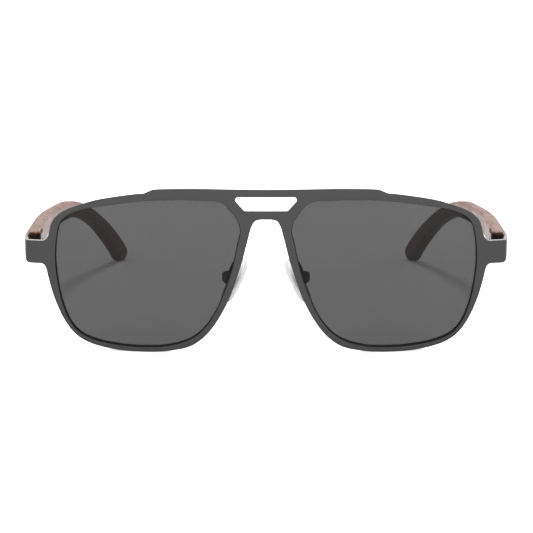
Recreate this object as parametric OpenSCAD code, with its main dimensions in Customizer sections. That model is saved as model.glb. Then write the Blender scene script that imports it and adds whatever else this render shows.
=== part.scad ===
// Double-bridge sunglasses: sheet-metal front, grey lenses, wooden temples on sprung hinges.
// The front looks towards -Y, the temples run back along +Y, and the wearer's left is +X.
// The glasses stand open on a table at z = 0, on both rims and both temple tips.

/* [Front] */
// Width of one lens opening, from its nose side to its temple side
lens_w = 56.7; // [52:0.1:60]
// Height of one lens opening
lens_h = 46; // [42:0.1:50]
// Least gap between the two lens openings
bridge_w = 15.3; // [14:0.1:20]
// Width of the rim under the lens, which the rest of the rim follows
rim_w = 1.4; // [1.3:0.05:1.7]
// Thickness of the front's sheet metal
sheet_t = 0.9; // [0.7:0.05:1.1]
// Radius of the sphere that the front and the lenses follow
face_r = 260; // [220:5:400]
// Height of the brow bar above the lens openings
brow_rise = 3.3; // [2.8:0.1:4.5]
// Length of the brow bar's level top
brow_l = 67; // [50:0.5:76]
// Length of the slope at each end of the brow bar
brow_ramp = 3.8; // [2:0.1:6]
// Drop of the brow bar over that slope
brow_drop = 1.5; // [0.8:0.1:2.5]
// Height of the bar over the bridge window
top_bar = 2.1; // [1.6:0.1:3]
// Height of the bridge window
window_h = 4.4; // [3:0.1:5]
// Width of the bridge window's top edge, out to its sharp corners
window_w = 20.8; // [16:0.1:22]
// Width of the bridge window's bottom edge, out to its sharp corners
window_foot = 13; // [9:0.1:15]
// Radius of the bridge window's corners
window_r = 0.8; // [0.4:0.1:1]
// Height of the bar under the bridge window
low_bar = 2.35; // [1.6:0.05:3]
// Width of the nose arch's top edge, out to its sharp corners
arch_w = 7.1; // [6:0.1:9]
// Radius of the nose arch's corners
arch_r = 2; // [1:0.1:2.4]

/* [Endpieces] */
// Height of an endpiece
end_h = 7.3; // [6.5:0.05:8]
// Height of the endpieces' middle, and of the hinges, above the table
end_z = 30.2; // [27:0.1:32]
// Reach of an endpiece past the lens opening
end_reach = 9.25; // [9:0.05:11]
// Outer radius of the fold where an endpiece turns back
fold_r = 1.6; // [1.2:0.1:2]
// Length of the folded leg behind the front's corner
leg_l = 9.1; // [8.6:0.1:12]
// Outward turn of the folded leg, in degrees
leg_splay = 7.7; // [0:0.1:10]
// Radius of the fillet over an endpiece
fillet_top = 1.6; // [0.5:0.1:2]
// Radius of the fillet under an endpiece
fillet_low = 0.8; // [0.4:0.1:1.2]

/* [Lenses and eyewires] */
// Thickness of a lens
lens_t = 1.1; // [0.8:0.05:1.4]
// Depth of the lens edge behind the edge of the opening
lens_bite = 0.3; // [0.2:0.05:0.4]
// Depth of an eyewire, front to back
wire_d = 2.2; // [1.9:0.05:2.8]
// Width of the eyewire that shows inside the opening
wire_in = 0.3; // [0.2:0.05:0.5]
// Width of the eyewire behind the rim
wire_out = 0.85; // [0.7:0.05:0.95]
// Width of the block that closes a split eyewire
lock_w = 3; // [2.8:0.1:3.2]
// Depth of that block, front to back
lock_d = 2.8; // [2.6:0.1:3.2]
// Height of that block, both halves
lock_h = 5.4; // [4.4:0.1:5.6]
// Gap between the halves of the block
lock_gap = 0.15; // [0.1:0.05:0.5]
// Depth that the block reaches into its eyewire
lock_lap = 0.3; // [0.2:0.05:0.5]
// Radius of the screw that closes it
lock_screw_r = 0.55; // [0.4:0.05:0.6]
// Radius of that screw's head
lock_head_r = 1; // [0.8:0.05:1.1]
// Distance of that screw outward of the block's middle
lock_shift = 0.2; // [0:0.05:0.3]

/* [Nose pads] */
// Length of a nose pad
pad_l = 15; // [11:0.5:15]
// Width of a nose pad
pad_w = 7.2; // [6:0.2:7.6]
// Thickness of a nose pad at its middle
pad_t = 2.2; // [2:0.1:2.6]
// Length of a pad between its blunt ends, as a share of its pointed length
pad_blunt = 0.92; // [0.85:0.01:0.96]
// Roundness of a pad's face, rounder the smaller it is
pad_crown = 0.8; // [0.7:0.05:1]
// Lean of the pads towards the middle, in degrees
pad_tilt = 27; // [18:1:28]
// Turn of the pads towards the face, in degrees
pad_splay = 30; // [24:1:34]
// Distance of a pad screw from the nose side of the lens opening
pad_out = 4; // [3.8:0.05:5]
// Distance of a pad screw behind the front
pad_y = 7.4; // [7:0.1:9]
// Height of a pad screw above the table
pad_z = 22.6; // [21:0.1:24]
// Distance from a pad screw to the middle of its pad
pad_stem = 2.5; // [2.4:0.1:3]
// Length of a pad's hard core
core_l = 9.5; // [7:0.5:10]
// Width of a pad's hard core
core_w = 4; // [3:0.1:4.6]
// Thickness of a pad's hard core
core_t = 0.6; // [0.4:0.05:0.8]
// Width of the core's tab, between the walls of its box
tab_w = 1.2; // [1:0.05:1.4]
// Radius of the core's tab round the pad screw
tab_r = 0.8; // [0.7:0.05:0.9]
// Height of a pad box
box_h = 3.3; // [2.8:0.1:3.6]
// Thickness of a pad box's walls
box_wall = 0.55; // [0.4:0.05:0.7]
// Turn of a pad box on its screw, which sets it upright, in degrees
box_turn = 30; // [22:1:34]
// Radius of a pad box's outer corners
box_r = 0.7; // [0.4:0.05:0.8]
// Radius of a pad box's lower corner, beside its pad
box_low_r = 1.4; // [1.2:0.05:1.5]
// Radius of a pad screw
pad_screw_r = 0.45; // [0.35:0.05:0.5]
// Radius of a pad arm's wire
arm_r = 0.45; // [0.35:0.05:0.55]
// Distance that a pad arm runs straight back from its eyewire
arm_back = 1.6; // [1:0.1:2]
// Distance that a pad arm stands above its pad box
arm_rise = 1.4; // [1:0.1:1.8]
// Distance of a pad arm's foot from its pad screw, towards the nose
arm_seat = 0.4; // [0.2:0.05:0.5]
// Radius of a pad arm's bends, at the middle of its wire
arm_bend = 1; // [0.7:0.05:1.1]

/* [Hinges] */
// Radius of the hinge knuckles
knuckle_r = 1.5; // [1.3:0.05:1.6]
// Height of the hinge, over both outer knuckles
hinge_h = 7.4; // [6.6:0.1:7.6]
// Height of the tongue's knuckle, with its play
tongue_h = 3; // [2.4:0.1:3.2]
// Radius of the hinge screw
pin_r = 0.7; // [0.5:0.05:0.8]
// Radius of the hinge screw's head
pin_head_r = 1.2; // [0.9:0.05:1.3]
// Distance of the hinge screw from the inside of the leg
pin_in = 2.5; // [2.45:0.05:2.7]
// Distance of the hinge screw in front of the leg's end
pin_back = 1.5; // [1.45:0.05:1.7]
// Thickness of the hinge plate on the leg
plate_t = 0.7; // [0.5:0.05:0.8]
// Length of the hinge plate on the leg
plate_l = 6; // [4:0.1:6.4]
// Height of the hinge plate on the leg
plate_h = 5.6; // [5:0.1:6]
// Radius of the tongue's shank
shank_r = 0.42; // [0.36:0.02:0.44]
// Radius of the collar on the end of the shank
collar_r = 0.72; // [0.68:0.02:0.74]
// Length of that collar
collar_l = 1; // [0.6:0.1:1.4]
// Width of the spring case, into the wood
case_w = 2.4; // [2.3:0.05:2.6]
// Height of the spring case
case_h = 4; // [3.4:0.1:4.4]
// Length of the spring case
case_l = 13; // [12:0.1:15]
// Thickness of the spring case's front wall
case_wall = 0.8; // [0.6:0.1:1]
// Radius of the bore that holds the spring
case_bore = 0.8; // [0.8:0.02:0.9]
// Thickness of the spring case's end plate, on the end of the wood
end_t = 0.6; // [0.4:0.05:0.7]
// Width of the wood that shows round that end plate
end_margin = 0.4; // [0.3:0.05:0.6]
// Length of the flange behind the spring case
flange_l = 6; // [5:0.1:8]
// Thickness of that flange
flange_t = 1; // [0.9:0.05:1.2]
// Radius of the flange's two wood screws
wood_screw_r = 0.5; // [0.4:0.05:0.6]
// Length of those screws
wood_screw_l = 2.6; // [2:0.1:2.8]
// Distance of the first of them behind the spring case
wood_screw_y = 1.9; // [1.6:0.1:2.2]
// Distance between the two
wood_screw_gap = 2.7; // [2.4:0.1:2.8]
// Travel of the temple against its spring
flex = 1.2; // [0.6:0.1:1.4]
// Turns of the spring
spring_turns = 12; // [8:1:13]
// Radius of the spring's wire
spring_wire_r = 0.11; // [0.08:0.01:0.12]
// Radius of the spring's coil, at the middle of its wire
spring_r = 0.6; // [0.58:0.01:0.62]

/* [Temples] */
// Thickness of a temple
temple_t = 3.8; // [3.7:0.1:5]
// Height of a temple's front end
temple_h = 7.3; // [6.8:0.1:8]
// Height of a temple where the ear bend starts
ear_h = 5.7; // [5:0.1:6.5]
// Least height of a temple, within the ear bend
waist_h = 4.55; // [4:0.05:5]
// Place of that least height, as a share of the ear bend
waist_at = 0.55; // [0.4:0.05:0.7]
// Height of a temple's tip
tip_h = 6; // [5:0.1:6.5]
// Length of a temple's straight part, seen from the side
temple_l = 83.5; // [76:0.5:88]
// Fall of a temple over its straight part
temple_fall = 3.2; // [2:0.05:4]
// Radius of the ear bend
ear_r = 67; // [62:0.5:80]
// Outward turn of a temple's front part, seen from above, in degrees
temple_flare = 1; // [0.5:0.05:1.5]
// Length of that front part
bow_l = 38.5; // [34:0.5:46]
// Radius that the outer face bows in on behind it
bow_r = 221; // [200:1:240]

/* [Fits] */
// Gap between the wood and the folded leg
temple_gap = 0.3; // [0.2:0.05:0.5]
// Gap left at brazed and glued faces
braze = 0.02; // [0.01:0.01:0.05]
// Radial play of screws and pins in their holes
pin_play = 0.03; // [0.02:0.01:0.05]
// Play of the parts that slide or turn against each other
slide_play = 0.05; // [0.03:0.01:0.08]
// Height of the screw heads
head_t = 0.45; // [0.3:0.05:0.6]
// Width of the slots in the screw heads
slot_w = 0.3; // [0.2:0.05:0.35]
// Depth of those slots
slot_d = 0.2; // [0.1:0.05:0.25]

/* [Hidden] */

$fn = 48;
face_fn = 200; // facets of the large spheres and of the temples' bow
span_steps = 4; // steps along each span of the lens outline
arc_steps = 6; // steps along each rounded corner
ear_steps = 16; // steps along each part of a temple
coil_steps = 8; // steps round each turn of the springs
coil_sides = 6; // sides of the springs' wire
elbow_lap = 0.15; // reach of a wire's runs into its elbows, as a share of their radius
elbow_full = 1.08; // thickness of a wire's elbows against its runs

// The lens outline, clockwise from the top of its nose side: share of the width from the nose,
// share of the height from the bottom, and the rim's width there as a multiple of rim_w
lens_shape = [
    [0.110, 0.989, 2.3], [0.227, 0.998, 1.7], [0.359, 1.000, 1.7], [0.514, 0.989, 1.7],
    [0.675, 0.961, 1.55], [0.844, 0.922, 1.2], [0.930, 0.878, 1.2], [0.969, 0.830, 1.6],
    [0.992, 0.726, 1.8], [1.000, 0.572, 1.87], [0.990, 0.437, 1.7], [0.969, 0.302, 1.2],
    [0.927, 0.165, 0.9], [0.872, 0.083, 0.75], [0.784, 0.035, 0.88], [0.659, 0.008, 0.95],
    [0.523, 0.000, 1.0], [0.394, 0.012, 0.95], [0.276, 0.058, 1.15], [0.202, 0.128, 1.1],
    [0.140, 0.237, 1.15], [0.082, 0.402, 1.4], [0.045, 0.541, 1.45], [0.015, 0.709, 1.8],
    [0.000, 0.796, 2.07], [0.013, 0.861, 2.3], [0.047, 0.924, 2.3], [0.082, 0.970, 2.3]];
nose_point = 24; // the outline's point nearest to the nose
arm_point = 22; // the outline's point just under the pad arm

lens_x0 = bridge_w / 2;
lens_x1 = lens_x0 + lens_w;
lens_top = rim_w + lens_h;
brow_top = lens_top + brow_rise;
window_top = brow_top - top_bar;
window_low = window_top - window_h;
arch_top = window_low - low_bar;

half_w = lens_x1 + end_reach; // outer face of the folds
wire_front = sheet_t + braze; // depths are measured back from the front's face
wire_back = wire_front + wire_d;
lens_front = wire_front + (wire_d - lens_t) / 2;
end_top = end_z + end_h / 2;
end_low = end_z - end_h / 2;
side_rim = lens_shape[9].z * rim_w; // width of the rim beside the endpiece

fold_x = half_w - fold_r;
fold_y = face_r - sqrt(pow(face_r - fold_r, 2) - fold_x * fold_x);
fold_start = atan2(fold_y - face_r, fold_x);
fold_edge = face_r * cos(fold_start); // where the sphere ends and the fold begins
leg_root = [fold_x + fold_r * cos(leg_splay), fold_y - fold_r * sin(leg_splay)]; // where the leg begins
leg_end = face_r - sqrt(face_r * face_r - half_w * half_w) + leg_l;
// The leg's x at y, at the depth d under its outer face
function leg_at(y, d) = leg_root.x - d / cos(leg_splay) + tan(leg_splay) * (y - leg_root.y);
leg_x = leg_at(leg_end, 0); // outer corner of the leg's end, level with the wood

pin_y = leg_end - pin_back;
pin_x = leg_at(pin_y, sheet_t) - pin_in;
ear_t = (hinge_h - tongue_h) / 2;
hinge_top = end_z + hinge_h / 2;
front_y = leg_end + temple_gap; // front end of the wood
case_x = leg_x - temple_t + slide_play;
shank_x = case_x + case_w / 2;
spring_start = front_y + case_wall + slide_play;
collar_y = front_y + case_l - flex - collar_l - slide_play;
spring_end = collar_y - slide_play;

ear_y = front_y + temple_l;
mid_front = end_z + slide_play;
mid_ear = mid_front - temple_fall;
fall_angle = atan(temple_fall / temple_l);
tip_angle = acos(cos(fall_angle) - (mid_ear - tip_h / 2) / ear_r);
tip_y = ear_y + ear_r * (sin(tip_angle) - sin(fall_angle));
bow_start = [leg_x + bow_l * tan(temple_flare), front_y + bow_l];
bow_mid = bow_start - bow_r * [cos(temple_flare), -sin(temple_flare)];
depth = tip_y + tip_h / 2;
bow_turn = 2 * temple_flare + asin((depth - bow_mid.y) / (bow_r - temple_t)); // degrees, past the tip

pad_x = lens_x0 + pad_out;
box_in = tab_w / 2 + slide_play; // inside of a pad box's walls
box_out = box_in + box_wall;
box_back = tab_r + slide_play;

// Smooth closed curve through points: cubic spans whose slopes follow the spacing of the points
function knot(a, b) = sqrt(norm(b - a));
function slope(a, b, c, s, t) = (b - a) / s - (c - a) / (s + t) + (c - b) / t;
function span_at(b, c, m, n, t) =
    (2 * t * t * t - 3 * t * t + 1) * b + (t * t * t - 2 * t * t + t) * m
    + (3 * t * t - 2 * t * t * t) * c + (t * t * t - t * t) * n;
function smooth(p, steps) = [for (i = [0 : len(p) - 1])
    let (n = len(p), a = p[(i + n - 1) % n], b = p[i], c = p[(i + 1) % n], d = p[(i + 2) % n])
    let (s = knot(a, b), t = knot(b, c), u = knot(c, d))
    let (m = t * slope(a, b, c, s, t), w = t * slope(b, c, d, t, u))
    for (k = [0 : steps - 1]) span_at(b, c, m, w, k / steps)];

// Outward normal of a clockwise closed curve at its point i, and the curve grown by d
function flat(p) = [p.x, p.y];
function normal(c, i) = let (n = len(c), e = flat(c[(i + 1) % n] - c[(i + n - 1) % n])) [-e.y, e.x] / norm(e);
function grown(c, d) = [for (i = [0 : len(c) - 1]) flat(c[i]) + d * normal(c, i)];

// Polygon whose corners [x, y, r] are rounded to the radius r, convex or not
function corner(a, b, c, r) =
    let (p = (a - b) / norm(a - b), q = (c - b) / norm(c - b), half = acos(p * q) / 2)
    let (o = b + (p + q) / norm(p + q) * r / sin(half), s = b + p * r / tan(half) - o)
    let (side = p.x * q.y - p.y * q.x > 0 ? -1 : 1, turn = side * (180 - 2 * half))
    [for (k = [0 : arc_steps]) let (w = turn * k / arc_steps)
        o + [s.x * cos(w) - s.y * sin(w), s.x * sin(w) + s.y * cos(w)]];
function rounded(p) = [for (i = [0 : len(p) - 1])
    let (n = len(p), a = flat(p[(i + n - 1) % n]), b = flat(p[i]), c = flat(p[(i + 1) % n]))
    for (q = p[i].z > 0 ? corner(a, b, c, p[i].z) : [b]) q];

lens_points = [for (p = lens_shape) [lens_x0 + p.x * lens_w, rim_w + p.y * lens_h, p.z * rim_w]];
lens_curve = smooth(lens_points, span_steps);
rim_curve = [for (i = [0 : len(lens_curve) - 1])
    flat(lens_curve[i]) + lens_curve[i].z * normal(lens_curve, i)];
arch_foot = rim_curve[nose_point * span_steps];

// Point and direction in the left nose pad's own frame, brought to the front's frame.
// There -x points at the nose, y is the pad screw's axis and z runs along the pad.
function pad_turn(v) =
    let (x = v.x * cos(pad_splay) + v.y * sin(pad_splay), y = v.y * cos(pad_splay) - v.x * sin(pad_splay))
    [x * cos(pad_tilt) - v.z * sin(pad_tilt), y, x * sin(pad_tilt) + v.z * cos(pad_tilt)];
function pad_point(v) = [pad_x, pad_y, pad_z] + pad_turn(v);
function box_point(v) = pad_point([v.x * cos(box_turn) + v.z * sin(box_turn), v.y,
    v.z * cos(box_turn) - v.x * sin(box_turn)]);
function face_y(x, z, d) = face_r - sqrt(pow(face_r - d, 2) - x * x - pow(z - end_z, 2));

// Places
module placed(side) translate([0, -depth / 2, 0]) mirror([side > 0 ? 0 : 1, 0, 0]) children();
module in_pad_frame()
    translate([pad_x, pad_y, pad_z]) rotate([0, -pad_tilt, 0]) rotate([0, 0, -pad_splay]) children();
module along_y(at, l) translate(at) rotate([-90, 0, 0]) linear_extrude(l) children();
module block(low, high) translate(low) cube(high - low);
module rod(a, b, r) {
    v = b - a;
    translate(a) rotate([0, acos(v.z / norm(v)), atan2(v.y, v.x)]) cylinder(h = norm(v), r = r);
}

// Wire of radius r through points, with a round elbow of radius bend at each inner point.
// The elbows are a hair fuller than the runs, which reach a little way into them.
module wire(p, r, bend) {
    n = len(p) - 1;
    lap = bend * elbow_lap;
    run = [for (i = [0 : n - 1]) (p[i + 1] - p[i]) / norm(p[i + 1] - p[i])];
    cut = [for (i = [0 : n]) i == 0 || i == n ? 0 : bend * tan(acos(run[i - 1] * run[i]) / 2)];
    for (i = [0 : n - 1])
        rod(p[i] + max(cut[i] - lap, 0) * run[i], p[i + 1] - max(cut[i + 1] - lap, 0) * run[i], r);
    for (i = [1 : n - 1]) {
        y = run[i - 1];
        in = run[i] - (run[i] * y) * y;
        x = -in / norm(in);
        z = cross(x, y);
        o = p[i] - cut[i] * y - bend * x;
        multmatrix([[x.x, y.x, z.x, o.x], [x.y, y.y, z.y, o.y], [x.z, y.z, z.z, o.z]])
            rotate_extrude(angle = acos(run[i - 1] * run[i])) translate([bend, 0]) circle(r = r * elbow_full);
    }
}

// Slotted screw along +z: its shank ends at z = 0 and its head sits on z = l
module screw(r, l, head_r) difference() {
    union() {
        cylinder(h = l, r = r);
        translate([0, 0, l]) cylinder(h = head_t, r = head_r);
    }
    translate([-slot_w / 2, -2 * head_r, l + head_t - slot_d]) cube([slot_w, 4 * head_r, head_t]);
}

// Outline in the front view made solid through the whole front, and the shell between two depths
module through(points)
    translate([0, half_w, 0]) rotate([90, 0, 0]) linear_extrude(2 * half_w) polygon(points);
module shell(d0, d1) translate([0, face_r, end_z]) difference() {
    sphere(r = face_r - d0, $fn = face_fn);
    sphere(r = face_r - d1, $fn = face_fn);
}
module both() {
    children();
    mirror([1, 0, 0]) children();
}

// Front plate
module endpiece_tab() {
    low_x = lens_x1 + side_rim;
    top_x = lens_x1 + lens_shape[8].z * rim_w - (1 - lens_shape[8].x) * lens_w;
    root_x = lens_x1 + side_rim / 2;
    through(rounded([
        [root_x, end_top + 2 * fillet_top, 0], [top_x, end_top + 2 * fillet_top, 0],
        [top_x, end_top, fillet_top],
        [fold_edge, end_top, 0], [fold_edge, end_low, 0],
        [low_x, end_low, fillet_low], [low_x, end_low - 2 * fillet_low, 0],
        [root_x, end_low - 2 * fillet_low, 0]]));
}

module folded_leg() {
    lap = 1; // the fold's root runs this far into the plate
    inset = 0.03; // and stays this far inside the plate's faces
    mid = [fold_x, fold_y];
    turns = [for (k = [0 : arc_steps])
        let (w = fold_start - (fold_start + leg_splay) * k / arc_steps) [cos(w), sin(w)]];
    ray = turns[0];
    root = mid - lap * [-ray.y, ray.x];
    translate([0, 0, end_low]) linear_extrude(end_h) polygon(concat(
        [root + (fold_r - sheet_t + inset) * ray, root + (fold_r - inset) * ray],
        [for (t = turns) mid + fold_r * t],
        [[leg_x, leg_end], [leg_at(leg_end, sheet_t), leg_end]],
        [for (k = [arc_steps : -1 : 0]) mid + (fold_r - sheet_t) * turns[k]]));
}

module front_plate() color("dimgray") placed(1) {
    bar_low = lens_top - brow_rise; // the brow bar runs this far down, into the rims
    ramp_low = brow_top - brow_drop;
    difference() {
        union() {
            intersection() {
                shell(0, sheet_t);
                union() {
                    both() through(rim_curve);
                    both() endpiece_tab();
                    through([[-brow_l / 2, brow_top], [brow_l / 2, brow_top],
                        [brow_l / 2 + brow_ramp, ramp_low], [brow_l / 2, bar_low],
                        [-brow_l / 2, bar_low], [-brow_l / 2 - brow_ramp, ramp_low]]);
                    through([[-lens_x0, window_top + top_bar / 2], [lens_x0, window_top + top_bar / 2],
                        [lens_x0, arch_foot.y], [-lens_x0, arch_foot.y]]);
                }
            }
            both() folded_leg();
        }
        both() through([for (p = lens_curve) flat(p)]);
        through(rounded([[-window_w / 2, window_top, window_r], [window_w / 2, window_top, window_r],
            [window_foot / 2, window_low, window_r], [-window_foot / 2, window_low, window_r]]));
        through(rounded([[-arch_w / 2, arch_top, arch_r], [arch_w / 2, arch_top, arch_r],
            [arch_foot.x, arch_foot.y, 0], [arch_foot.x, arch_foot.y - arch_r, 0],
            [-arch_foot.x, arch_foot.y - arch_r, 0], [-arch_foot.x, arch_foot.y, 0]]));
    }
}

// Eyewire with its groove, split behind the endpiece and closed by a block
lock_x = lens_x1 + wire_out - lock_lap;
lock_y = face_y(lock_x + lock_w, end_z, sheet_t) + braze;
lock_axis = [lock_x + lock_w / 2 + lock_shift, lock_y + lock_d / 2];

module eyewire(side) color("black") placed(side) difference() {
    union() {
        intersection() {
            shell(wire_front, wire_back);
            through(grown(lens_curve, wire_out));
        }
        block([lock_x, lock_y, end_z - lock_h / 2], [lock_x + lock_w, lock_y + lock_d, end_z + lock_h / 2]);
    }
    through(grown(lens_curve, -wire_in));
    intersection() {
        shell(lens_front - slide_play, lens_front + lens_t + slide_play);
        through(grown(lens_curve, lens_bite + slide_play));
    }
    block([lens_x1 - lock_w, 0, end_z - lock_gap / 2], [half_w, pin_y, end_z + lock_gap / 2]);
    translate([lock_axis.x, lock_axis.y, 0]) cylinder(h = 2 * end_z, r = lock_screw_r + pin_play);
}

module rim_screw(side) color("dimgray") placed(side)
    translate([lock_axis.x, lock_axis.y, end_z - lock_h / 2])
        screw(lock_screw_r, lock_h, lock_head_r);

module lens(side) color("gray", 0.6) placed(side) intersection() {
    shell(lens_front, lens_front + lens_t);
    through(grown(lens_curve, lens_bite));
}

// Nose pads
module pad_arm(side) color("black") placed(side) {
    root = lens_curve[arm_point * span_steps + span_steps / 4];
    x = root.x + (wire_out - wire_in) / 2 * normal(lens_curve, arm_point * span_steps).x;
    a = [x, face_y(x, root.y, wire_back) + braze, root.y];
    foot = [-arm_seat, -box_in - box_wall / 2, box_h / 2];
    wire([a, a + [0, arm_back, 0], box_point(foot + [0, 0, arm_rise]), box_point(foot + [0, 0, braze])],
        arm_r, arm_bend);
}

module pad_box(side) color("black") placed(side) in_pad_frame() rotate([0, box_turn, 0]) difference() {
    back = box_back + box_wall;
    translate([0, box_out, 0]) rotate([90, 0, 0]) linear_extrude(2 * box_out)
        polygon(rounded([[-tab_r, box_h / 2, 0], [back, box_h / 2, box_r], [back, -box_h / 2, box_r],
            [-tab_r, -box_h / 2, box_low_r]]));
    block([-2 * tab_r, -box_in, -box_h], [box_back, box_in, box_h]);
    along_y([0, -2 * box_out, 0], 4 * box_out) circle(r = pad_screw_r + pin_play);
}

module pad_screw(side) color("dimgray") placed(side) in_pad_frame()
    translate([0, -box_out, 0]) rotate([-90, 0, 0]) screw(pad_screw_r, 2 * box_out, 2 * pad_screw_r);

// Oval with round ends, standing across x, l long and w wide
module oval(l, w, t) translate([-t / 2, 0, 0]) rotate([90, 0, 90]) linear_extrude(t)
    intersection() {
        r = (l * l + w * w) / (4 * w);
        translate([r - w / 2, 0]) circle(r = r, $fn = 96);
        translate([w / 2 - r, 0]) circle(r = r, $fn = 96);
        square([w, l * pad_blunt], center = true);
    }

module core_shape(grow) {
    translate([-pad_stem, 0, 0]) oval(core_l + 2 * grow, core_w + 2 * grow, core_t + 2 * grow);
    block([-pad_stem, -tab_w / 2 - grow, -tab_r - grow], [0, tab_w / 2 + grow, tab_r + grow]);
}

module pad_core(side) color("whitesmoke") placed(side) in_pad_frame() difference() {
    union() {
        core_shape(0);
        along_y([0, -tab_w / 2, 0], tab_w) circle(r = tab_r);
    }
    along_y([0, -tab_w, 0], 2 * tab_w) circle(r = pad_screw_r + pin_play);
}

module nose_pad(side) color("gainsboro", 0.5) placed(side) in_pad_frame() difference() {
    crown = pad_l * pad_l / (4 * pad_t) * pad_crown; // radius of the pad's rounded face
    intersection() {
        translate([-pad_stem, 0, 0]) oval(pad_l, pad_w, pad_t);
        translate([-pad_stem - pad_t / 2 + crown, 0, 0]) sphere(r = crown, $fn = face_fn);
    }
    core_shape(braze);
}

// Hinges
module hinge_knuckles(side) color("black") placed(side) difference() {
    far = leg_end - temple_gap;
    start = far - plate_l;
    back = sheet_t + braze; // depths under the leg's outer face
    mid = back + plate_t / 2;
    face = back + plate_t;
    union() {
        translate([0, 0, end_z - plate_h / 2]) linear_extrude(plate_h)
            polygon([[leg_at(start, face), start], [leg_at(start, back), start],
                [leg_at(far, back), far], [leg_at(far, face), far]]);
        for (z = [end_z - hinge_h / 2, hinge_top - ear_t]) translate([0, 0, z]) linear_extrude(ear_t) {
            near = pin_y - knuckle_r;
            translate([pin_x, pin_y]) circle(r = knuckle_r);
            polygon([[pin_x, near], [leg_at(near, mid), near], [leg_at(far, mid), far], [pin_x, far]]);
        }
    }
    translate([pin_x, pin_y, 0]) cylinder(h = 2 * end_z, r = pin_r + pin_play);
}

module hinge_screw(side) color("black") placed(side)
    translate([pin_x, pin_y, end_z - hinge_h / 2]) screw(pin_r, hinge_h, pin_head_r);

module hinge_tongue(side) color("silver") placed(side) {
    h = tongue_h - 2 * slide_play;
    shank_y = pin_y + pin_r;
    difference() {
        union() {
            translate([pin_x, pin_y, end_z - h / 2]) cylinder(h = h, r = knuckle_r);
            along_y([shank_x, shank_y, end_z], collar_y + collar_l - shank_y) circle(r = shank_r);
            along_y([shank_x, collar_y, end_z], collar_l) circle(r = collar_r);
        }
        translate([pin_x, pin_y, 0]) cylinder(h = 2 * end_z, r = pin_r + pin_play);
    }
}

module case_body(grow) {
    low = end_z - case_h / 2 - grow;
    high = end_z + case_h / 2 + grow;
    end_half = temple_h / 2 - end_margin + grow;
    block([case_x - grow, front_y - grow, low], [case_x + case_w + grow, front_y + case_l + grow, high]);
    block([case_x - grow, front_y - grow, low],
        [case_x + flange_t + grow, front_y + case_l + flange_l + grow, high]);
    block([case_x - grow, front_y - grow, mid_front - end_half],
        [leg_x - end_margin + grow, front_y + end_t + grow, mid_front + end_half]);
}

module hinge_case(side) color("black") placed(side) difference() {
    case_body(0);
    along_y([shank_x, front_y - case_wall, end_z], case_l) circle(r = shank_r + slide_play);
    along_y([shank_x, front_y + case_wall, end_z], case_l) circle(r = case_bore);
    at_case_screws() {
        translate([0, 0, -wood_screw_l]) cylinder(h = 2 * wood_screw_l, r = wood_screw_r + pin_play);
        translate([0, 0, wood_screw_l - head_t])
            cylinder(h = wood_screw_l, r = 2 * wood_screw_r + slide_play);
    }
}

// The two wood screws lie in the case's flange, their heads level with its face
module at_case_screws() for (k = [0, 1])
    translate([case_x + wood_screw_l, front_y + case_l + wood_screw_y + k * wood_screw_gap, end_z])
        rotate([0, -90, 0]) children();

module case_screws(side) color("silver") placed(side) at_case_screws()
    screw(wood_screw_r, wood_screw_l - head_t, 2 * wood_screw_r);

// One unbroken coil: rings along a helix
spring_pitch = (spring_end - spring_start - 2 * spring_wire_r) / spring_turns;
coil_rings = coil_steps * spring_turns;
coil_path = [for (i = [0 : coil_rings]) let (w = 360 * i / coil_steps)
    [shank_x + spring_r * cos(w), spring_start + spring_wire_r + spring_pitch * i / coil_steps,
        end_z + spring_r * sin(w)]];
coil_gap = min([for (i = [0 : coil_rings - coil_steps]) norm(coil_path[i + coil_steps] - coil_path[i])])
    - 2 * spring_wire_r;
echo(coil_gap = coil_gap);

module hinge_spring(side) color("silver") placed(side) {
    n = coil_sides;
    last = n * coil_rings;
    points = [for (i = [0 : coil_rings], k = [0 : n - 1]) let (w = 360 * i / coil_steps, v = 360 * k / n)
        coil_path[i] + spring_wire_r * [cos(v) * cos(w), sin(v), cos(v) * sin(w)]];
    walls = [for (i = [0 : coil_rings - 1], k = [0 : n - 1])
        let (a = n * i + k, b = n * i + (k + 1) % n)
        each [[a, b, b + n], [a, b + n, a + n]]];
    caps = [for (k = [1 : n - 2]) each [[0, k + 1, k], [last, last + k, last + k + 1]]];
    polyhedron(points, concat(walls, caps));
}

// Temples: a side outline carried through the plan, which flares out and then bows in
function ease(t) = t * t * (3 - 2 * t);
function bend_h(t) = t < waist_at
    ? ear_h + ease(t / waist_at) * (waist_h - ear_h)
    : waist_h + ease((t - waist_at) / (1 - waist_at)) * (tip_h - waist_h);
function mid_points() = concat(
    [for (k = [0 : ear_steps]) let (t = k / ear_steps)
        [front_y + t * temple_l, mid_front - t * temple_fall, fall_angle,
            temple_h + ease(t) * (ear_h - temple_h)]],
    [for (k = [1 : ear_steps]) let (t = k / ear_steps, w = fall_angle + t * (tip_angle - fall_angle))
        [ear_y + ear_r * (sin(w) - sin(fall_angle)), mid_ear - ear_r * (cos(fall_angle) - cos(w)), w,
            bend_h(t)]]);

module temple_side() {
    mid = mid_points();
    n = len(mid) - 1;
    top = [for (m = mid) [m[0] + (m[0] == front_y ? 0 : sin(m[2]) * m[3] / 2), m[1] + cos(m[2]) * m[3] / 2]];
    low = [for (i = [n : -1 : 0]) let (m = mid[i])
        [m[0] - (i == 0 ? 0 : sin(m[2]) * m[3] / 2), m[1] - cos(m[2]) * m[3] / 2]];
    tip = [for (k = [1 : 2 * arc_steps - 1]) let (w = 90 - tip_angle - 90 * k / arc_steps)
        [tip_y + tip_h / 2 * cos(w), tip_h / 2 + tip_h / 2 * sin(w)]];
    translate([half_w / 3, 0, 0]) rotate([90, 0, 90]) linear_extrude(half_w) polygon(concat(top, tip, low));
}

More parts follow.
